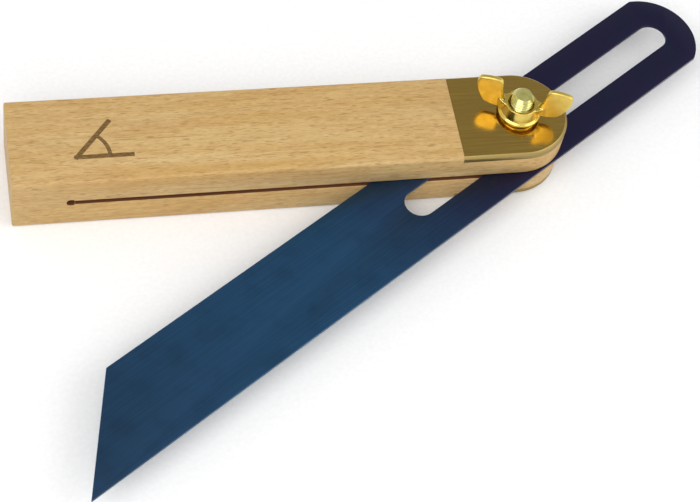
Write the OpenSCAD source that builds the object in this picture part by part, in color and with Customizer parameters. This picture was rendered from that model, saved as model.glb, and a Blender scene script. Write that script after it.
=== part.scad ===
// Sliding bevel: slotted beech stock with brass wear plates, a blued steel blade that
// swings and slides on one pivot screw, and a wing nut that clamps it.
// Frame: origin at the centre of the stock's underside, +X to the round nose, +Z up.

/* [Stock] */
// Length of the stock from butt to nose
stock_length = 148; // [130:1:180]
// Width of the stock
stock_width = 27; // [26:0.5:32]
// Thickness of the stock
stock_height = 18; // [17:0.5:22]
// Radius of the four long wooden edges
edge_radius = 1; // [0.5:0.1:1.5]
// Thickness of the saw kerf that the blade folds into
kerf_thickness = 1.5; // [1.4:0.1:2]
// Height of the kerf's middle above the underside
kerf_height = 9.3; // [8.5:0.1:9.5]
// Solid wood left between the butt and the end of the kerf
kerf_stop = 15; // [12:0.5:20]
// Diameter of the relief hole at the end of the kerf
relief_diameter = 2.4; // [2:0.1:3]

/* [Wear plates] */
// Length of each brass plate along the stock
plate_length = 30.8; // [28:0.1:36]
// Thickness of each brass plate
plate_thickness = 2; // [1.5:0.1:2.2]
// Chamfer round the outer edge of each plate
plate_chamfer = 0.7; // [0.3:0.1:0.9]

/* [Blade] */
// Length of the blade from its sharp tip to its round end
blade_length = 225; // [200:1:230]
// Width of the blade
blade_width = 25.4; // [22:0.1:25.6]
// Thickness of the blade
blade_thickness = 1.1; // [0.9:0.05:1.2]
// Length of the slot from end to end
slot_length = 100.5; // [80:0.5:105]
// Width of the slot
slot_width = 8.3; // [8.3:0.1:9]
// Metal between the slot and the round end
slot_margin = 8; // [7:0.5:10]
// Radius of the blade's round end
end_radius = 14.2; // [13.5:0.1:18]
// Distance from the pivot to the sharp tip as the blade is set
tip_distance = 156.7; // [125:0.1:190]
// Sideways play taken up between the blade's middle line and the pivot
blade_offset = 1.1; // [0:0.1:1.1]
// Angle between the blade and the stock as the blade is set
blade_angle = 33.5; // [15:0.5:90]

/* [Pivot screw and washer] */
// Diameter over the screw's thread
screw_diameter = 5.9; // [5.8:0.05:5.95]
// Length of screw standing above the upper plate
screw_reach = 8.2; // [8:0.1:12]
// Diameter of the countersunk head
head_diameter = 11.6; // [10:0.1:12]
// Outside diameter of the washer
washer_diameter = 10; // [9:0.1:11]
// Thickness of the washer
washer_thickness = 1.3; // [1:0.1:1.6]

/* [Wing nut] */
// Diameter of the hub's foot, which overhangs the washer
hub_diameter = 11.6; // [11:0.1:12]
// Diameter of the hub at its top
hub_top_diameter = 8.4; // [7.6:0.1:9]
// Height of the hub
hub_height = 3.7; // [3.2:0.1:5]
// Reach of each wing from the axis
wing_reach = 12.8; // [12:0.1:13.4]
// Thickness of each wing
wing_thickness = 1.5; // [1.2:0.1:2]
// Direction of the wings from the stock's length
wing_angle = -21; // [-90:1:90]

/* [Hidden] */
$fn = 96;
// Fine enough to draw an arc, and short of a sliver
eps = 0.02;
// Radial play of the screw in the brass plates and in the wood
running_play = 0.05;
wood_play = 0.3;
// Gap left round the countersunk head
head_play = 0.15;
half_length = stock_length / 2;
nose_radius = stock_width / 2;
pivot_x = half_length - nose_radius;
plate_start = half_length - plate_length;
kerf_end = kerf_stop - half_length;
screw_radius = screw_diameter / 2;
// The head tapers at 45 degrees below a short straight rim
head_rim = 0.3;
head_taper = head_diameter / 2 - screw_radius;
screw_top = stock_height + screw_reach;
screw_chamfer = 0.75;
driver_width = 1.2;
driver_depth = 1.3;
washer_bore = 6.4;
nut_base = stock_height + washer_thickness;
thread_mouth = 0.6;
// The wing's outline, as distance from the axis and height above the hub's base,
// for a wing that reaches 1 from the axis
wing_points = [
    [0.24, 0.04], [0.48, 0.04], [0.66, 0.07], [0.81, 0.15], [0.95, 0.41], [1.00, 0.61],
    [0.99, 0.74], [0.95, 0.82], [0.78, 0.86], [0.60, 0.86], [0.50, 0.82], [0.46, 0.71],
    [0.42, 0.45], [0.36, 0.29], [0.24, 0.26]
];
wing_steps = 6;

// A point on the smooth curve through b and c, a fraction t of the way along
function curve_point(a, b, c, d, t) =
    0.5 * (2 * b + (c - a) * t + (2 * a - 5 * b + 4 * c - d) * t * t
    + (3 * b - a - 3 * c + d) * t * t * t);

// A closed smooth outline through a list of points
function smooth_outline(points, steps) =
    let (n = len(points))
    [
        for (i = [0 : n - 1], k = [0 : steps - 1])
            curve_point(points[(i + n - 1) % n], points[i], points[(i + 1) % n],
                points[(i + 2) % n], k / steps)
    ];

// A rectangle with round corners, centred across and standing on zero
module rounded_section(width, height, radius) {
    translate([-width / 2, radius]) square([width, height - 2 * radius]);
    translate([-width / 2 + radius, 0]) square([width - 2 * radius, height]);
    for (x = [-width / 2 + radius, width / 2 - radius], y = [radius, height - radius])
        translate([x, y]) circle(r = radius);
}

// A length of bar along +X with the given cross-section
module bar_along_x(start, length) {
    translate([start, 0, 0]) rotate([90, 0, 90]) linear_extrude(length) children();
}

// Plan of the stock from the start of the plates to the round nose
module nose_plan() {
    translate([plate_start, -stock_width / 2]) square([pivot_x - plate_start, stock_width]);
    translate([pivot_x, 0]) circle(r = nose_radius);
}

// The hole for the screw, with a seat for its countersunk head
module screw_hole(play) {
    translate([pivot_x, 0, -1]) cylinder(r = screw_radius + play, h = stock_height + 2);
    translate([pivot_x, 0, -eps])
        cylinder(r = head_diameter / 2 + head_play, h = head_rim + eps);
    translate([pivot_x, 0, head_rim])
        cylinder(r1 = head_diameter / 2 + head_play, r2 = screw_radius, h = head_taper + head_play);
}

// Beech stock: two cheeks joined at the butt, housed top and bottom for the plates
module stock() {
    color("#d9b487") difference() {
        union() {
            bar_along_x(-half_length, plate_start + half_length)
                rounded_section(stock_width, stock_height, edge_radius);
            translate([0, 0, plate_thickness])
                linear_extrude(stock_height - 2 * plate_thickness) nose_plan();
        }
        translate([kerf_end, -stock_width, kerf_height - kerf_thickness / 2])
            cube([stock_length, 2 * stock_width, kerf_thickness]);
        translate([kerf_end, stock_width, kerf_height])
            rotate([90, 0, 0]) cylinder(d = relief_diameter, h = 2 * stock_width);
        screw_hole(wood_play);
    }
}

// A brass plate lying on zero with its chamfered face up
module wear_plate() {
    flat = plate_thickness - plate_chamfer;
    inner = nose_radius - plate_chamfer;
    bar_along_x(plate_start, pivot_x - plate_start)
        polygon([
            [-nose_radius, 0], [nose_radius, 0], [nose_radius, flat],
            [inner, plate_thickness], [-inner, plate_thickness], [-nose_radius, flat]
        ]);
    translate([pivot_x, 0, 0]) {
        cylinder(r = nose_radius, h = flat);
        translate([0, 0, flat]) cylinder(r1 = nose_radius, r2 = inner, h = plate_chamfer);
    }
}

module upper_wear_plate() {
    color("#b8923f") difference() {
        translate([0, 0, stock_height - plate_thickness]) wear_plate();
        screw_hole(running_play);
    }
}

module lower_wear_plate() {
    color("#b8923f") difference() {
        translate([0, 0, plate_thickness]) mirror([0, 0, 1]) wear_plate();
        screw_hole(running_play);
    }
}

// Plan of the blade, with the pivot at zero and the round end towards +X
module blade_plan() {
    round_end = blade_length - tip_distance;
    slot_end = round_end - slot_margin - slot_width / 2;
    slot_start = slot_end - slot_length + slot_width;
    half_width = blade_width / 2;
    difference() {
        union() {
            intersection() {
                translate([round_end - end_radius, 0]) circle(r = end_radius, $fn = 180);
                translate([round_end - end_radius, -half_width]) square([end_radius, blade_width]);
            }
            polygon([
                [-tip_distance, -half_width], [round_end - end_radius, -half_width],
                [round_end - end_radius, half_width], [blade_width - tip_distance, half_width]
            ]);
        }
        for (x = [slot_start, slot_end]) translate([x, 0]) circle(d = slot_width);
        translate([slot_start, -slot_width / 2]) square([slot_end - slot_start, slot_width]);
    }
}

// Blued steel blade lying in the kerf
module blade() {
    color("#24425e")
        translate([pivot_x, 0, kerf_height - blade_thickness / 2]) rotate([0, 0, blade_angle])
            translate([0, -blade_offset, 0]) linear_extrude(blade_thickness) blade_plan();
}

// Countersunk screw, flush below and standing up through the wing nut
module pivot_screw() {
    color("#a9a55d") translate([pivot_x, 0, 0]) difference() {
        union() {
            cylinder(d = head_diameter, h = head_rim);
            translate([0, 0, head_rim])
                cylinder(r1 = head_diameter / 2, r2 = screw_radius, h = head_taper);
            cylinder(r = screw_radius, h = screw_top - screw_chamfer);
            translate([0, 0, screw_top - screw_chamfer])
                cylinder(r1 = screw_radius, r2 = screw_radius - screw_chamfer, h = screw_chamfer);
        }
        translate([-head_diameter, -driver_width / 2, -1])
            cube([2 * head_diameter, driver_width, 1 + driver_depth]);
    }
}

module washer() {
    color("#caa64a") translate([pivot_x, 0, stock_height]) difference() {
        cylinder(d = washer_diameter, h = washer_thickness);
        translate([0, 0, -1]) cylinder(d = washer_bore, h = washer_thickness + 2);
    }
}

// One flat wing standing up along +X
module wing() {
    translate([0, wing_thickness / 2, 0]) rotate([90, 0, 0]) linear_extrude(wing_thickness)
        scale(wing_reach) polygon(smooth_outline(wing_points, wing_steps));
}

module wing_nut() {
    color("#f2b52e") translate([pivot_x, 0, nut_base]) rotate([0, 0, wing_angle]) difference() {
        union() {
            cylinder(d1 = hub_diameter, d2 = hub_top_diameter, h = hub_height);
            wing();
            rotate([0, 0, 180]) wing();
        }
        translate([0, 0, -1]) cylinder(r = screw_radius + running_play, h = hub_height + 2);
        translate([0, 0, hub_height - thread_mouth])
            cylinder(r1 = screw_radius, r2 = screw_radius + 2 * thread_mouth, h = 2 * thread_mouth);
    }
}

stock();
upper_wear_plate();
lower_wear_plate();
blade();
pivot_screw();
washer();
wing_nut();
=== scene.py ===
import math

import bmesh
import bpy
from mathutils import Matrix, Vector


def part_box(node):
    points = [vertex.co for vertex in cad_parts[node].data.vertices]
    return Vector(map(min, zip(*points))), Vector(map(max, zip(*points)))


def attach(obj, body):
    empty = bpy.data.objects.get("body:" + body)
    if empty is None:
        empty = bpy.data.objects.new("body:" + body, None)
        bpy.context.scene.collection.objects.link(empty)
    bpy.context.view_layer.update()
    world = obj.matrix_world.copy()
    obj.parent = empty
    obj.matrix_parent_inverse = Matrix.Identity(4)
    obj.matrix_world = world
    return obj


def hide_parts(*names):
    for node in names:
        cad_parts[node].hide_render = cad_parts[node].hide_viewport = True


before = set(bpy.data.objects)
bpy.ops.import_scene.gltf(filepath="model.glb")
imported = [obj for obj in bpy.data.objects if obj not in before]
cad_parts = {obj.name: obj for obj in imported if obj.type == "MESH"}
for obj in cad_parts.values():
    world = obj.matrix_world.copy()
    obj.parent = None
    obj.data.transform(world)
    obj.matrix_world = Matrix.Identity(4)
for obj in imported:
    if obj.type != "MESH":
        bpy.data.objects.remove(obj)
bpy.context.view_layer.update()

# Everything is in metres, in the CAD frame: +X along the stock to its round nose, +Z up.
MM = 0.001

# The view, as the photograph has it
VIEW_TARGET = (10.13 * MM, -33.77 * MM, 9.0 * MM)
VIEW_DISTANCE = 530.5 * MM
VIEW_AZIMUTH = -20.86
VIEW_ELEVATION = 55.57
VIEW_ROLL = 13.37
VIEW_LENS = 106.5

# Places that come from the CAD boxes
stock_low, stock_high = (Vector(corner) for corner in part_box("stock"))
plate_low, plate_high = (Vector(corner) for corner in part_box("upper_wear_plate"))
blade_low, blade_high = (Vector(corner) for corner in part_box("blade"))
screw_low, screw_high = (Vector(corner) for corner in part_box("pivot_screw"))
washer_low, washer_high = (Vector(corner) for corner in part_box("washer"))
nut_low, nut_high = (Vector(corner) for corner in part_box("wing_nut"))

stock_height = plate_high.z
nose_radius = (stock_high.y - stock_low.y) / 2
pivot_x = stock_high.x - nose_radius
plate_start = plate_low.x
plate_thickness = plate_high.z - plate_low.z
washer_radius = (washer_high.x - washer_low.x) / 2
kerf_middle = (blade_low.z + blade_high.z) / 2
blade_thickness = blade_high.z - blade_low.z
head_radius = (screw_high.x - screw_low.x) / 2
screw_top = screw_high.z

# Sizes that repeat the CAD design
EDGE_RADIUS = 1.0 * MM
BUTT_EASE = 0.4 * MM
KERF_THICKNESS = 1.5 * MM
KERF_STOP = 15.0 * MM
RELIEF_RADIUS = 1.2 * MM
PLATE_CHAMFER = 0.7 * MM
SCREW_RADIUS = 2.95 * MM
SCREW_HOLE = 3.0 * MM
SCREW_CHAMFER = 0.75 * MM
HEAD_RIM = 0.3 * MM
# Gaps round the screw and its head: in the wood, and round the head in the plates
WOOD_PLAY = 0.3 * MM
WOOD_HEAD_PLAY = 0.4 * MM
HEAD_PLAY = 0.15 * MM
DRIVER_WIDTH = 1.2 * MM
DRIVER_DEPTH = 1.3 * MM
THREAD_PITCH = 1.0 * MM
THREAD_DEPTH = 0.5 * MM
WASHER_HOLE = 3.2 * MM
BLADE_ANGLE = math.radians(33.5)
BLADE_OFFSET = 1.1 * MM
BLADE_WIDTH = 25.4 * MM
TIP_DISTANCE = 156.7 * MM
BLADE_LENGTH = 225.0 * MM
END_RADIUS = 14.2 * MM
SLOT_WIDTH = 8.3 * MM
SLOT_LENGTH = 100.5 * MM
SLOT_MARGIN = 8.0 * MM
HUB_RADIUS = 5.8 * MM
HUB_TOP_RADIUS = 4.2 * MM
HUB_HEIGHT = 3.7 * MM
HUB_MOUTH = 0.7 * MM
WING_ANGLE = math.radians(-21)
WING_REACH = 12.75 * MM
WING_THICKNESS = 1.45 * MM
WING_ROUNDING = 0.45 * MM
# Gusset that thickens each wing where it grows out of the hub: distance from the axis,
# half thickness and height above the hub's base
WEB_CORNERS = [
    (2.5 * MM, 2.9 * MM, 0.6 * MM), (2.5 * MM, 2.7 * MM, 3.3 * MM),
    (7.6 * MM, 0.1 * MM, 1.9 * MM), (7.6 * MM, 0.1 * MM, 4.2 * MM),
]
# The wing's outline, as distance from the axis and height above the hub's base,
# for a wing that reaches 1 from the axis
WING_POINTS = [
    (0.24, 0.04), (0.48, 0.04), (0.66, 0.07), (0.81, 0.15), (0.95, 0.41), (1.00, 0.61),
    (0.99, 0.74), (0.95, 0.82), (0.78, 0.86), (0.60, 0.86), (0.50, 0.82), (0.46, 0.71),
    (0.42, 0.45), (0.36, 0.29), (0.24, 0.26),
]


# ---- Mesh tools ----

def object_from(bm, name):
    """A new object in the scene that holds the bmesh."""
    bmesh.ops.recalc_face_normals(bm, faces=bm.faces)
    mesh = bpy.data.meshes.new(name)
    bm.to_mesh(mesh)
    bm.free()
    piece = bpy.data.objects.new(name, mesh)
    bpy.context.collection.objects.link(piece)
    return piece


def apply_modifiers(piece):
    """Bakes the piece's modifiers into its mesh."""
    graph = bpy.context.evaluated_depsgraph_get()
    mesh = bpy.data.meshes.new_from_object(piece.evaluated_get(graph))
    piece.modifiers.clear()
    piece.data = mesh


def cut(piece, *tools):
    """Takes the tools' shapes away from the piece."""
    for tool in tools:
        step = piece.modifiers.new("cut", "BOOLEAN")
        step.operation = "DIFFERENCE"
        step.solver = "EXACT"
        step.object = tool
    apply_modifiers(piece)
    for tool in tools:
        bpy.data.objects.remove(tool, do_unlink=True)


def soften(piece, width, segments=2, angle=35):
    """Rounds the piece's sharp edges a little and shades it smooth."""
    step = piece.modifiers.new("edges", "BEVEL")
    step.width = width
    step.segments = segments
    step.limit_method = "ANGLE"
    step.angle_limit = math.radians(angle)
    apply_modifiers(piece)
    shade(piece, angle)


def shade(piece, angle):
    """Smooth shading that stays crisp past the given angle."""
    piece.data.shade_smooth()
    piece.data.set_sharp_from_angle(angle=math.radians(angle))


def prism(outline, low, high, name):
    """A solid that stands on an outline in plan, from one height to another."""
    bm = bmesh.new()
    bottom = [bm.verts.new((x, y, low)) for x, y in outline]
    top = [bm.verts.new((x, y, high)) for x, y in outline]
    bm.faces.new(bottom)
    bm.faces.new(top)
    for i in range(len(outline)):
        j = (i + 1) % len(outline)
        bm.faces.new((bottom[i], bottom[j], top[j], top[i]))
    return object_from(bm, name)


def hull(corners, name):
    """The convex solid around some corners."""
    bm = bmesh.new()
    for corner in corners:
        bm.verts.new(corner)
    bmesh.ops.convex_hull(bm, input=bm.verts)
    return object_from(bm, name)


def bridge(bm, lower, upper, steps):
    """Faces between two rings, either of which may be a single point."""
    for i in range(steps):
        j = (i + 1) % steps
        corners = [lower[i % len(lower)], lower[j % len(lower)]]
        corners += [upper[j % len(upper)], upper[i % len(upper)]]
        corners = list(dict.fromkeys(corners))
        if len(corners) > 2:
            bm.faces.new(corners)


def lathe(profile, centre, name, steps=96):
    """A closed solid turned round the vertical axis at centre, from (radius, height) points.
    The profile starts and ends on the axis, or closes on itself."""
    bm = bmesh.new()
    rings = []
    for radius, height in profile:
        if radius < 1e-9:
            rings.append([bm.verts.new((centre[0], centre[1], height))])
            continue
        ring = []
        for i in range(steps):
            turn = 2 * math.pi * i / steps
            x = centre[0] + radius * math.cos(turn)
            y = centre[1] + radius * math.sin(turn)
            ring.append(bm.verts.new((x, y, height)))
        rings.append(ring)
    closed = len(rings[0]) > 1 and len(rings[-1]) > 1
    pairs = list(zip(rings, rings[1:]))
    if closed:
        pairs.append((rings[-1], rings[0]))
    for lower, upper in pairs:
        bridge(bm, lower, upper, steps)
    return object_from(bm, name)


def cylinder(radius, centre, low, high, name, steps=96):
    """A plain upright cylinder, used as a cutting tool."""
    return lathe([(0, low), (radius, low), (radius, high), (0, high)], centre, name, steps)


def block(low, high, name):
    """A plain block between two corners."""
    outline = [(low[0], low[1]), (high[0], low[1]), (high[0], high[1]), (low[0], high[1])]
    return prism(outline, low[2], high[2], name)


def arc(centre, radius, start, end, steps):
    """Points round an arc, with angles in degrees."""
    points = []
    for i in range(steps + 1):
        turn = math.radians(start + (end - start) * i / steps)
        points.append((centre[0] + radius * math.cos(turn), centre[1] + radius * math.sin(turn)))
    return points


def smooth_outline(points, steps):
    """A closed Catmull-Rom curve through the points."""
    curve = []
    count = len(points)
    for i in range(count):
        a, b, c, d = (Vector(points[(i + k) % count]) for k in (-1, 0, 1, 2))
        for k in range(steps):
            t = k / steps
            curve.append(0.5 * (2 * b + (c - a) * t + (2 * a - 5 * b + 4 * c - d) * t ** 2
                                + (3 * b - a - 3 * c + d) * t ** 3))
    return curve


def dress(piece, body, node, material):
    """Rides the piece on its body in place of its CAD node, with its material."""
    piece.data.materials.clear()
    piece.data.materials.append(material)
    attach(piece, body)
    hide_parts(node)


# ---- Material tools ----

class Shader:
    """A material being built: node() adds a node and returns it, with its inputs set."""

    def __init__(self, name):
        self.material = bpy.data.materials.new(name)
        self.material.use_nodes = True
        self.tree = self.material.node_tree
        self.surface = self.tree.nodes["Principled BSDF"]
        self.place = self.node("ShaderNodeTexCoord").outputs["Object"]

    def node(self, kind, inputs=None, **settings):
        made = self.tree.nodes.new(kind)
        for key, value in settings.items():
            setattr(made, key, value)
        for key, value in (inputs or {}).items():
            self.feed(made.inputs[key], value)
        return made

    def feed(self, socket, value):
        if isinstance(value, bpy.types.NodeSocket):
            self.tree.links.new(value, socket)
        else:
            socket.default_value = value

    def math(self, operation, a, b=0.0):
        return self.node("ShaderNodeMath", {0: a, 1: b}, operation=operation).outputs[0]

    def stretch(self, scale):
        """The piece's own coordinates, scaled."""
        return self.node("ShaderNodeMapping", {"Vector": self.place, "Scale": scale}).outputs[0]

    def noise(self, vector, detail=2.0, rough=0.5, distortion=0.0):
        made = self.node("ShaderNodeTexNoise", {
            "Vector": vector, "Scale": 1.0, "Detail": detail, "Roughness": rough,
            "Distortion": distortion})
        return made.outputs["Fac"]

    def ramp(self, factor, low, high, start=0.0, end=1.0):
        """Maps a factor from low..high to start..end, held inside those limits."""
        made = self.node("ShaderNodeMapRange", {
            "Value": factor, "From Min": low, "From Max": high, "To Min": start, "To Max": end})
        made.clamp = True
        return made.outputs[0]

    def mix(self, factor, a, b):
        made = self.node("ShaderNodeMix", data_type="RGBA")
        self.feed(made.inputs[0], factor)
        self.feed(made.inputs[6], a)
        self.feed(made.inputs[7], b)
        return made.outputs[2]

    def bump(self, height, strength, distance, below=None):
        made = self.node("ShaderNodeBump", {
            "Height": height, "Strength": strength, "Distance": distance})
        if below is not None:
            self.feed(made.inputs["Normal"], below)
        return made.outputs[0]

    def level(self):
        """1 where the surface lies flat, 0 where it stands upright, in the piece's own frame."""
        normal = self.node("ShaderNodeTexCoord").outputs["Normal"]
        return self.math("ABSOLUTE", self.node("ShaderNodeSeparateXYZ", {0: normal}).outputs[2])

    def from_pivot(self):
        """Distance from the pivot's axis."""
        split = self.node("ShaderNodeSeparateXYZ", {0: self.place})
        x = self.math("SUBTRACT", split.outputs[0], pivot_x)
        y = split.outputs[1]
        square = self.math("ADD", self.math("MULTIPLY", x, x), self.math("MULTIPLY", y, y))
        return self.math("SQRT", square)

    def set(self, **inputs):
        for key, value in inputs.items():
            self.feed(self.surface.inputs[key.replace("_", " ")], value)
        return self.material


def rgb(code):
    """A linear colour with alpha from a hex code."""
    channels = [int(code[i:i + 2], 16) / 255 for i in (1, 3, 5)]
    linear = [c / 12.92 if c <= 0.04045 else ((c + 0.055) / 1.055) ** 2.4 for c in channels]
    return (*linear, 1.0)


def segment_mask(shader, x, y, start, end, width):
    """1 within half a width of a straight stroke in plan, 0 outside it."""
    along = Vector(end) - Vector(start)
    length = along.length
    along.normalize()
    dx = shader.math("SUBTRACT", x, start[0])
    dy = shader.math("SUBTRACT", y, start[1])
    run = shader.math("ADD", shader.math("MULTIPLY", dx, along.x),
                      shader.math("MULTIPLY", dy, along.y))
    side = shader.math("ABSOLUTE", shader.math(
        "SUBTRACT", shader.math("MULTIPLY", dy, along.x), shader.math("MULTIPLY", dx, along.y)))
    inside = shader.math("LESS_THAN", side, width / 2)
    inside = shader.math("MULTIPLY", inside, shader.math("GREATER_THAN", run, -width / 2))
    return shader.math("MULTIPLY", inside, shader.math("LESS_THAN", run, length + width / 2))


def beech(name, with_mark=False):
    """Pale beech: faint broad figure, short dark ray flecks and fine pores along the grain."""
    s = Shader(name)
    figure = s.noise(s.stretch((14, 150, 120)), detail=3, distortion=0.6)
    tone = s.mix(s.ramp(figure, 0.3, 0.7), rgb("#c49e60"), rgb("#d2b680"))
    blush = s.noise(s.stretch((22, 60, 90)), detail=3, distortion=1.2)
    tone = s.mix(s.ramp(blush, 0.45, 0.75, 0.0, 0.45), tone, rgb("#cba274"))
    streak = s.noise(s.stretch((40, 1100, 1100)), detail=3, distortion=0.4)
    tone = s.mix(s.ramp(streak, 0.45, 0.75, 0.0, 0.35), tone, rgb("#a38049"))
    ripple = s.noise(s.stretch((240, 1300, 1300)), detail=4, distortion=0.8)
    tone = s.mix(s.ramp(ripple, 0.42, 0.66, 0.0, 0.34), tone, rgb("#a67a42"))
    fleck = s.noise(s.stretch((330, 2600, 2600)), detail=1, rough=0.4)
    fleck = s.ramp(fleck, 0.60, 0.70)
    tone = s.mix(s.math("MULTIPLY", fleck, 0.52), tone, rgb("#8a602a"))
    pores = s.noise(s.stretch((700, 7000, 7000)), detail=2)
    tone = s.mix(s.ramp(pores, 0.42, 0.75, 0.0, 0.44), tone, rgb("#97733c"))
    # Painted shade: the faces of the kerf and its relief hole are painted dark brown.
    tone = s.mix(painted_kerf_shade_mask(s), tone, rgb("#56240e"))
    if with_mark:
        tone = burnt_mark(s, tone)
    normal = s.bump(pores, 0.25, 0.05 * MM)
    normal = s.bump(fleck, 0.12, 0.03 * MM, normal)
    rough = s.ramp(streak, 0.3, 0.7, 0.42, 0.56)
    return s.set(Base_Color=tone, Roughness=rough, Normal=normal, Specular_IOR_Level=0.35)


def painted_kerf_shade_mask(s):
    """1 on the faces of the kerf and its relief hole, where dark brown is painted as painted shade,
    0 on the outside.
    """
    split = s.node("ShaderNodeSeparateXYZ", {0: s.place})
    ease = 0.03 * MM
    x = s.math("SUBTRACT", split.outputs[0], stock_low.x + KERF_STOP)
    z = s.math("SUBTRACT", split.outputs[2], kerf_middle)
    level = s.ramp(s.math("ABSOLUTE", z), KERF_THICKNESS / 2, KERF_THICKNESS / 2 + ease, 1.0, 0.0)
    kerf = s.math("MULTIPLY", level, s.math("GREATER_THAN", x, 0))
    reach = s.math("SQRT", s.math("ADD", s.math("MULTIPLY", x, x), s.math("MULTIPLY", z, z)))
    hole = s.ramp(reach, RELIEF_RADIUS, RELIEF_RADIUS + ease, 1.0, 0.0)
    return s.math("MULTIPLY", s.math("MAXIMUM", kerf, hole), 0.93)


# The burnt mark's middle along the stock, and its strokes
MARK_FROM_BUTT = 24.0 * MM
MARK_STROKE = 1.3 * MM
MARK_LENGTH = 14.0 * MM
MARK_ANGLE = math.radians(50)
MARK_ARC = 8.5 * MM


def burnt_mark(s, tone):
    """A plain open angle with its arc, burnt brown into the top face near the butt."""
    split = s.node("ShaderNodeSeparateXYZ", {0: s.place})
    corner = (stock_low.x + MARK_FROM_BUTT - MARK_LENGTH / 2, -MARK_LENGTH * 0.4)
    x = s.math("SUBTRACT", split.outputs[0], corner[0])
    y = s.math("SUBTRACT", split.outputs[1], corner[1])
    end = (MARK_LENGTH * math.cos(MARK_ANGLE), MARK_LENGTH * math.sin(MARK_ANGLE))
    shape = segment_mask(s, x, y, (0, 0), (MARK_LENGTH, 0), MARK_STROKE)
    shape = s.math("MAXIMUM", shape, segment_mask(s, x, y, (0, 0), end, MARK_STROKE))
    reach = s.math("SQRT", s.math("ADD", s.math("MULTIPLY", x, x), s.math("MULTIPLY", y, y)))
    band = s.math("ABSOLUTE", s.math("SUBTRACT", reach, MARK_ARC))
    swept = s.math("LESS_THAN", band, MARK_STROKE * 0.4)
    swept = s.math("MULTIPLY", swept, s.math("GREATER_THAN", y, 0))
    beside = s.math("SUBTRACT", s.math("MULTIPLY", x, math.sin(MARK_ANGLE)),
                    s.math("MULTIPLY", y, math.cos(MARK_ANGLE)))
    swept = s.math("MULTIPLY", swept, s.math("GREATER_THAN", beside, 0))
    shape = s.math("MAXIMUM", shape, swept)
    top = s.math("GREATER_THAN", split.outputs[2], stock_height - 0.1 * MM)
    uneven = s.ramp(s.noise(s.stretch((900, 3000, 900)), detail=2), 0.3, 0.6, 0.72, 0.95)
    mask = s.math("MULTIPLY", s.math("MULTIPLY", shape, top), uneven)
    return s.mix(mask, tone, rgb("#5a3f14"))


def blued_steel():
    """Blued spring steel, brushed, with painted reflection and shade along it: blue at the tip
    running to near black at the round end.
    """
    s = Shader("blued_steel")
    turned = s.node("ShaderNodeMapping", {
        "Vector": s.place, "Rotation": (0, 0, -BLADE_ANGLE)}).outputs[0]
    along = s.node("ShaderNodeSeparateXYZ", {0: turned}).outputs[0]
    pivot_along = pivot_x * math.cos(BLADE_ANGLE)
    cloud = s.noise(s.stretch((60, 60, 60)), detail=3)
    place = s.math("ADD", along, s.math("MULTIPLY", cloud, 30 * MM))
    # Painted shade and dim reflection: the blade darkens to near black from a little before the
    # pivot towards the round end.
    painted_shade_fade = s.ramp(place, pivot_along - 46 * MM, pivot_along + 6 * MM)
    tone = s.mix(painted_shade_fade, rgb("#2f5a80"), rgb("#2c2748"))
    # Painted reflection: towards the tip the blue is dimmed to a greyer blue.
    painted_tip_reflection = s.ramp(place, pivot_along - 150 * MM, pivot_along - 85 * MM, 0.75, 0.0)
    tone = s.mix(painted_tip_reflection, tone, rgb("#2b3e58"))
    brush = s.noise(s.node("ShaderNodeMapping", {
        "Vector": turned, "Scale": (40, 4500, 4500)}).outputs[0], detail=3)
    tone = s.mix(s.ramp(brush, 0.35, 0.7, 0.0, 0.35), tone, rgb("#16273a"))
    stain = s.ramp(s.noise(s.stretch((130, 130, 130)), detail=4), 0.5, 0.75, 0.0, 0.3)
    tone = s.mix(stain, tone, rgb("#1d3046"))
    rough = s.ramp(brush, 0.3, 0.7, 0.30, 0.42)
    return s.set(Base_Color=tone, Metallic=0.85, Roughness=rough,
                 Normal=s.bump(brush, 0.18, 0.02 * MM))


def brushed_brass():
    """Satin brass, brushed along the stock."""
    s = Shader("plate_brass")
    brush = s.noise(s.stretch((60, 5200, 2600)), detail=3)
    tone = s.mix(s.ramp(brush, 0.3, 0.7), rgb("#ab8c47"), rgb("#c2a152"))
    haze = s.ramp(s.noise(s.stretch((90, 220, 90)), detail=4), 0.45, 0.75, 0.0, 0.3)
    tone = s.mix(haze, tone, rgb("#a08443"))
    polish = s.ramp(brush, 0.3, 0.7, 0.12, 0.22)
    edge = s.ramp(s.level(), 0.75, 0.98, 1.0, 0.0)
    tone = s.mix(edge, tone, rgb("#a08c58"))
    filed = s.math("MULTIPLY", edge, 0.32)
    rough = s.math("ADD", polish, filed)
    return s.set(Base_Color=tone, Metallic=1.0, Roughness=rough,
                 Normal=s.bump(brush, 0.10, 0.02 * MM))


def nut_metal():
    """Bright brass: the hub is turned and polished, the wings keep a satin, mottled skin."""
    s = Shader("nut_brass")
    mottle = s.noise(s.stretch((500, 500, 500)), detail=4)
    tone = s.mix(s.ramp(mottle, 0.35, 0.75), rgb("#e4ca6c"), rgb("#d6b95a"))
    fine = s.noise(s.stretch((2600, 2600, 2600)), detail=2)
    satin = s.ramp(s.from_pivot(), 5.2 * MM, 6.6 * MM, 0.0, 0.24)
    rough = s.math("ADD", s.ramp(mottle, 0.3, 0.7, 0.12, 0.20), satin)
    return s.set(Base_Color=tone, Metallic=1.0, Roughness=rough,
                 Normal=s.bump(fine, 0.12, 0.04 * MM))


def zinc_plate():
    """Pale yellow zinc plate on the screw."""
    s = Shader("screw_zinc")
    mottle = s.noise(s.stretch((600, 600, 600)), detail=4)
    tone = s.mix(s.ramp(mottle, 0.35, 0.7), rgb("#d2cb86"), rgb("#b4af68"))
    fine = s.noise(s.stretch((3000, 3000, 3000)), detail=2)
    turned_end = s.ramp(s.level(), 0.9, 0.98, 0.0, 0.34)
    rough = s.math("ADD", s.ramp(mottle, 0.3, 0.7, 0.20, 0.30), turned_end)
    return s.set(Base_Color=tone, Metallic=1.0, Roughness=rough,
                 Normal=s.bump(fine, 0.12, 0.03 * MM))


# ---- Pieces ----

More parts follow.
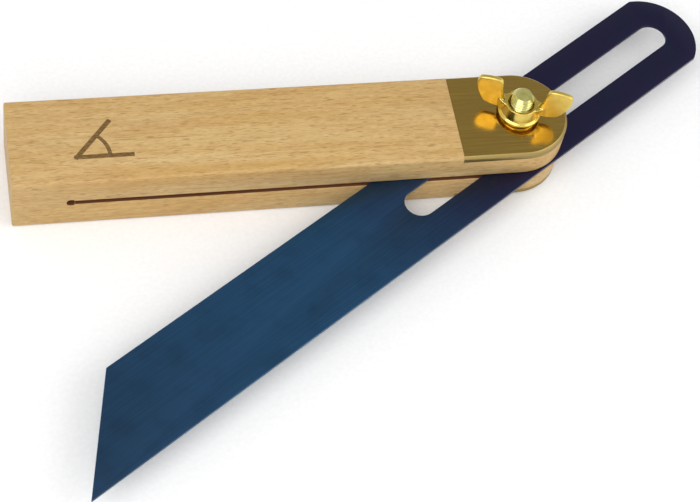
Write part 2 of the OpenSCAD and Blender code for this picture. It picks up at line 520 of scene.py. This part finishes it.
def screw_hole_tool(radius, head_play):
    """The cutting shape for the screw's hole and its countersunk seat."""
    seat = head_radius + head_play
    taper = seat - radius
    below = screw_low.z - 1 * MM
    profile = [
        (0, below), (seat, below), (seat, screw_low.z + HEAD_RIM),
        (radius, screw_low.z + HEAD_RIM + taper), (radius, stock_height + 1 * MM),
        (0, stock_height + 1 * MM),
    ]
    return lathe(profile, (pivot_x, 0), "tool")


def make_stock(material):
    """The beech stock: rounded edges, kerf, relief hole, plate housings and screw hole."""
    low, high = stock_low, stock_high
    outline = [(low.x, low.y)]
    outline += arc((pivot_x, 0), nose_radius, -90, 90, 64)
    outline += [(low.x, high.y)]
    piece = prism(outline, 0, stock_height, "stock_body")
    bm = bmesh.new()
    bm.from_mesh(piece.data)
    long_edges = []
    for edge in bm.edges:
        upright = abs(edge.verts[0].co.z - edge.verts[1].co.z) > 1 * MM
        at_butt = max(v.co.x for v in edge.verts) < low.x + 1 * MM
        if not upright and not at_butt:
            long_edges.append(edge)
    bmesh.ops.bevel(bm, geom=long_edges, offset=EDGE_RADIUS, segments=5, profile=0.5,
                    affect="EDGES", clamp_overlap=True)
    butt_edges = []
    for edge in bm.edges:
        at_butt = max(v.co.x for v in edge.verts) < low.x + 0.01 * MM
        if at_butt and edge.calc_face_angle() > math.radians(45):
            butt_edges.append(edge)
    bmesh.ops.bevel(bm, geom=butt_edges, offset=BUTT_EASE, segments=3, profile=0.5,
                    affect="EDGES", clamp_overlap=True)
    bm.to_mesh(piece.data)
    bm.free()
    beyond = 5 * MM
    floor, roof = plate_thickness, stock_height - plate_thickness
    sides = (low.y - beyond, high.y + beyond)
    tools = [
        block((plate_start, sides[0], roof), (high.x + beyond, sides[1], roof + beyond), "tool"),
        block((plate_start, sides[0], -beyond), (high.x + beyond, sides[1], floor), "tool"),
        block((low.x + KERF_STOP, sides[0], kerf_middle - KERF_THICKNESS / 2),
              (high.x + beyond, sides[1], kerf_middle + KERF_THICKNESS / 2), "tool"),
        screw_hole_tool(SCREW_RADIUS + WOOD_PLAY, WOOD_HEAD_PLAY),
    ]
    relief = cylinder(RELIEF_RADIUS, (0, 0), sides[0], sides[1], "tool", 40)
    relief.data.transform(Matrix.Translation((low.x + KERF_STOP, 0, kerf_middle))
                          @ Matrix.Rotation(math.radians(90), 4, "X"))
    tools.append(relief)
    cut(piece, *tools)
    soften(piece, 0.14 * MM, 2, 40)
    dress(piece, "stock", "stock", material)


def make_plate(node, face_up, material):
    """A wear plate with a chamfered outer edge; face_up is False for the lower one."""
    inner = nose_radius - PLATE_CHAMFER
    flat = plate_thickness - PLATE_CHAMFER
    bm = bmesh.new()
    rings = []
    for radius, height in ((nose_radius, 0), (nose_radius, flat), (inner, plate_thickness)):
        ring = [(plate_start, -radius)]
        ring += arc((pivot_x, 0), radius, -90, 90, 64)
        ring += [(plate_start, radius)]
        level = stock_height - plate_thickness + height if face_up else plate_thickness - height
        rings.append([bm.verts.new((x, y, level)) for x, y in ring])
    bm.faces.new(rings[0])
    bm.faces.new(rings[-1])
    for lower, upper in zip(rings, rings[1:]):
        bridge(bm, lower, upper, len(lower))
    piece = object_from(bm, node + "_body")
    cut(piece, screw_hole_tool(SCREW_HOLE, HEAD_PLAY))
    soften(piece, 0.12 * MM, 2, 30)
    dress(piece, "stock", node, material)


def make_blade(material):
    """The slotted blade: 45 degree tip, round end with eased corners, fine chamfers."""
    half = BLADE_WIDTH / 2
    round_end = BLADE_LENGTH - TIP_DISTANCE
    centre = round_end - END_RADIUS
    sweep = math.degrees(math.asin(half / END_RADIUS))
    outline = [(-TIP_DISTANCE, -half)]
    outline += arc((centre, 0), END_RADIUS, -sweep, sweep, 48)
    outline += [(BLADE_WIDTH - TIP_DISTANCE, half)]
    piece = prism(outline, 0, blade_thickness, "blade_body")
    slot_end = round_end - SLOT_MARGIN - SLOT_WIDTH / 2
    slot_start = slot_end - SLOT_LENGTH + SLOT_WIDTH
    slot = arc((slot_end, 0), SLOT_WIDTH / 2, -90, 90, 32)
    slot += arc((slot_start, 0), SLOT_WIDTH / 2, 90, 270, 32)
    cut(piece, prism(slot, -blade_thickness, 2 * blade_thickness, "tool"))
    soften(piece, 0.12 * MM, 2, 40)
    place = Matrix.Translation((pivot_x, 0, blade_low.z))
    place = place @ Matrix.Rotation(BLADE_ANGLE, 4, "Z") @ Matrix.Translation((0, -BLADE_OFFSET, 0))
    piece.data.transform(place)
    dress(piece, "blade", "blade", material)


def make_screw(material):
    """The pivot screw: slotted countersunk head, plain shank, real helical thread."""
    steps = 64
    rows = 12
    start = stock_height - 2 * MM
    profile = [
        (0, 0), (head_radius - 0.1 * MM, 0), (head_radius, 0.1 * MM), (head_radius, HEAD_RIM),
        (SCREW_RADIUS, HEAD_RIM + head_radius - SCREW_RADIUS), (SCREW_RADIUS, start),
    ]
    count = int((screw_top - start) / THREAD_PITCH * rows)
    bm = bmesh.new()
    rings = []
    for radius, height in profile:
        rings.append([(radius, height)] * steps)
    for k in range(1, count + 1):
        height = start + (screw_top - start) * k / count
        limit = min(SCREW_RADIUS, SCREW_RADIUS - SCREW_CHAMFER + (screw_top - height))
        ring = []
        for i in range(steps):
            phase = (height / THREAD_PITCH - i / steps) % 1.0
            groove = THREAD_DEPTH * max(0.0, 1 - abs(phase - 0.5) / 0.42)
            groove *= min(1.0, (height - start) / THREAD_PITCH)
            ring.append((min(limit, SCREW_RADIUS - groove), height))
        rings.append(ring)
    rings.append([(0, screw_top)] * steps)
    made = []
    for ring in rings:
        if ring[0][0] < 1e-9:
            made.append([bm.verts.new((pivot_x, 0, ring[0][1]))])
            continue
        verts = []
        for i, (radius, height) in enumerate(ring):
            turn = 2 * math.pi * i / steps
            verts.append(bm.verts.new(
                (pivot_x + radius * math.cos(turn), radius * math.sin(turn), height)))
        made.append(verts)
    for lower, upper in zip(made, made[1:]):
        bridge(bm, lower, upper, steps)
    piece = object_from(bm, "pivot_screw_body")
    reach = 2 * head_radius
    cut(piece, block((pivot_x - reach, -DRIVER_WIDTH / 2, -1 * MM),
                     (pivot_x + reach, DRIVER_WIDTH / 2, DRIVER_DEPTH), "tool"))
    shade(piece, 38)
    dress(piece, "screw", "pivot_screw", material)


def make_washer(material):
    """The plain washer, with eased edges."""
    low, high = washer_low.z, washer_high.z
    profile = [
        (WASHER_HOLE, low), (washer_radius, low), (washer_radius, high), (WASHER_HOLE, high),
    ]
    piece = lathe(profile, (pivot_x, 0), "washer_body")
    soften(piece, 0.22 * MM, 3, 40)
    dress(piece, "washer", "washer", material)


def make_wing_nut(material):
    """The wing nut: hub and wings melted together as a casting, then bored."""
    base = nut_low.z
    profile = [
        (0, base), (HUB_RADIUS - 0.1 * MM, base), (HUB_RADIUS, base + 0.15 * MM),
        (HUB_RADIUS - 0.1 * MM, base + 0.5 * MM), (HUB_RADIUS - 0.7 * MM, base + 0.8 * MM),
        (HUB_TOP_RADIUS, base + HUB_HEIGHT), (0, base + HUB_HEIGHT),
    ]
    hub = lathe(profile, (0, 0), "hub")
    outline = [point * WING_REACH for point in smooth_outline(WING_POINTS, 6)]
    shapes = [hub]
    for turn in (0, math.pi):
        wing = prism(outline, -WING_THICKNESS / 2, WING_THICKNESS / 2, "wing")
        soften(wing, WING_ROUNDING, segments=3)
        stand = Matrix.Translation((0, 0, base)) @ Matrix.Rotation(turn, 4, "Z")
        stand = stand @ Matrix.Rotation(math.radians(90), 4, "X")
        wing.data.transform(stand)
        corners = [(x, side * y, base + z) for x, y, z in WEB_CORNERS for side in (-1, 1)]
        web = hull(corners, "web")
        web.data.transform(Matrix.Rotation(turn, 4, "Z"))
        shapes += [wing, web]
    bm = bmesh.new()
    for shape in shapes:
        bm.from_mesh(shape.data)
        bpy.data.objects.remove(shape, do_unlink=True)
    piece = object_from(bm, "wing_nut_body")
    melt = piece.modifiers.new("melt", "REMESH")
    melt.mode = "VOXEL"
    melt.voxel_size = 0.14 * MM
    flow = piece.modifiers.new("flow", "SMOOTH")
    flow.factor = 0.5
    flow.iterations = 4
    apply_modifiers(piece)
    top = base + HUB_HEIGHT
    bore = [
        (0, base - 1 * MM), (SCREW_HOLE, base - 1 * MM), (SCREW_HOLE, top - HUB_MOUTH),
        (SCREW_HOLE + 2 * HUB_MOUTH, top + HUB_MOUTH), (0, top + HUB_MOUTH),
    ]
    cut(piece, lathe(bore, (0, 0), "tool"))
    aside = 20 * MM
    cut(piece, block((-aside, -aside, base - 5 * MM), (aside, aside, base), "tool"))
    piece.data.transform(Matrix.Translation((pivot_x, 0, 0)) @ Matrix.Rotation(WING_ANGLE, 4, "Z"))
    shade(piece, 50)
    dress(piece, "wing_nut", "wing_nut", material)


# ---- Studio ----

# Patches of the surroundings that are darker: direction, the cosines from it where the
# darkening starts and is complete, and the brightness at each. One lies high behind the tool,
# the other low in front and to the left, where the round hub mirrors it.
HIGH_PATCH = ((0.20, 0.53, 0.82), (0.45, 0.95), (0.95, 0.42))
LOW_PATCH = ((-0.72, -0.68, 0.10), (0.72, 0.93), (1.0, 0.05))
FLOOR_SIZE = 4.0
FLOOR_GAP = 0.05 * MM


def make_floor():
    """A pale floor just under the stock."""
    floor = block((-FLOOR_SIZE, -FLOOR_SIZE, -20 * MM), (FLOOR_SIZE, FLOOR_SIZE, -FLOOR_GAP),
                  "floor")
    s = Shader("floor_paper")
    grain = s.noise(s.stretch((900, 900, 900)), detail=2)
    tone = s.mix(s.ramp(grain, 0.3, 0.7), (0.86, 0.86, 0.86, 1), (0.90, 0.90, 0.90, 1))
    floor.data.materials.append(s.set(Base_Color=tone, Roughness=0.9))


def area_light(name, place, size, power):
    """A white square soft light at a place, turned towards the origin."""
    light = bpy.data.lights.new(name, "AREA")
    light.shape = "SQUARE"
    light.size = size
    light.energy = power
    lamp = bpy.data.objects.new(name, light)
    lamp.location = place
    lamp.rotation_euler = (-Vector(place)).to_track_quat("-Z", "Y").to_euler()
    bpy.context.collection.objects.link(lamp)


def patch_strength(tree, towards, spread, levels):
    """The surroundings' brightness, eased from one level to the other towards a direction."""
    direction = tree.nodes.new("ShaderNodeTexCoord").outputs["Generated"]
    facing = tree.nodes.new("ShaderNodeVectorMath")
    facing.operation = "DOT_PRODUCT"
    facing.inputs[1].default_value = towards
    tree.links.new(direction, facing.inputs[0])
    strength = tree.nodes.new("ShaderNodeMapRange")
    strength.interpolation_type = "SMOOTHSTEP"
    for socket, value in zip(("From Min", "From Max", "To Min", "To Max"), spread + levels):
        strength.inputs[socket].default_value = value
    tree.links.new(facing.outputs["Value"], strength.inputs["Value"])
    return strength.outputs[0]


def make_light():
    """Soft white light all round, with two darker patches that the metal mirrors."""
    world = bpy.data.worlds.new("studio")
    world.use_nodes = True
    tree = world.node_tree
    background = tree.nodes["Background"]
    both = tree.nodes.new("ShaderNodeMath")
    both.operation = "MULTIPLY"
    for i, patch in enumerate((HIGH_PATCH, LOW_PATCH)):
        tree.links.new(patch_strength(tree, *patch), both.inputs[i])
    tree.links.new(both.outputs[0], background.inputs["Strength"])
    background.inputs["Color"].default_value = (1, 1, 1, 1)
    bpy.context.scene.world = world
    area_light("key", (-0.5, -0.58, 1.0), 1.0, 9)
    area_light("fill", (0.8, -0.3, 0.7), 0.8, 3)


def make_camera():
    """The camera at the photograph's angle, with its roll."""
    azimuth, elevation, roll = (math.radians(a) for a in (VIEW_AZIMUTH, VIEW_ELEVATION, VIEW_ROLL))
    back = Vector((math.sin(azimuth) * math.cos(elevation),
                   -math.cos(azimuth) * math.cos(elevation), math.sin(elevation)))
    right = (-back).cross(Vector((0, 0, 1))).normalized()
    up = right.cross(-back)
    turned_right = right * math.cos(roll) + up * math.sin(roll)
    turned_up = up * math.cos(roll) - right * math.sin(roll)
    data = bpy.data.cameras.new("camera")
    data.lens = VIEW_LENS
    data.sensor_width = 36
    data.clip_start = 0.01
    camera = bpy.data.objects.new("camera", data)
    place = Vector(VIEW_TARGET) + back * VIEW_DISTANCE
    turn = Matrix((turned_right, turned_up, back)).transposed().to_4x4()
    camera.matrix_world = Matrix.Translation(place) @ turn
    bpy.context.collection.objects.link(camera)
    bpy.context.scene.camera = camera


bpy.context.scene.view_settings.view_transform = "Standard"
make_camera()
make_light()
make_floor()
make_stock(beech("beech", with_mark=True))
plate_brass = brushed_brass()
make_plate("upper_wear_plate", True, plate_brass)
make_plate("lower_wear_plate", False, plate_brass)
make_blade(blued_steel())
make_screw(zinc_plate())
nut_brass = nut_metal()
make_washer(nut_brass)
make_wing_nut(nut_brass)
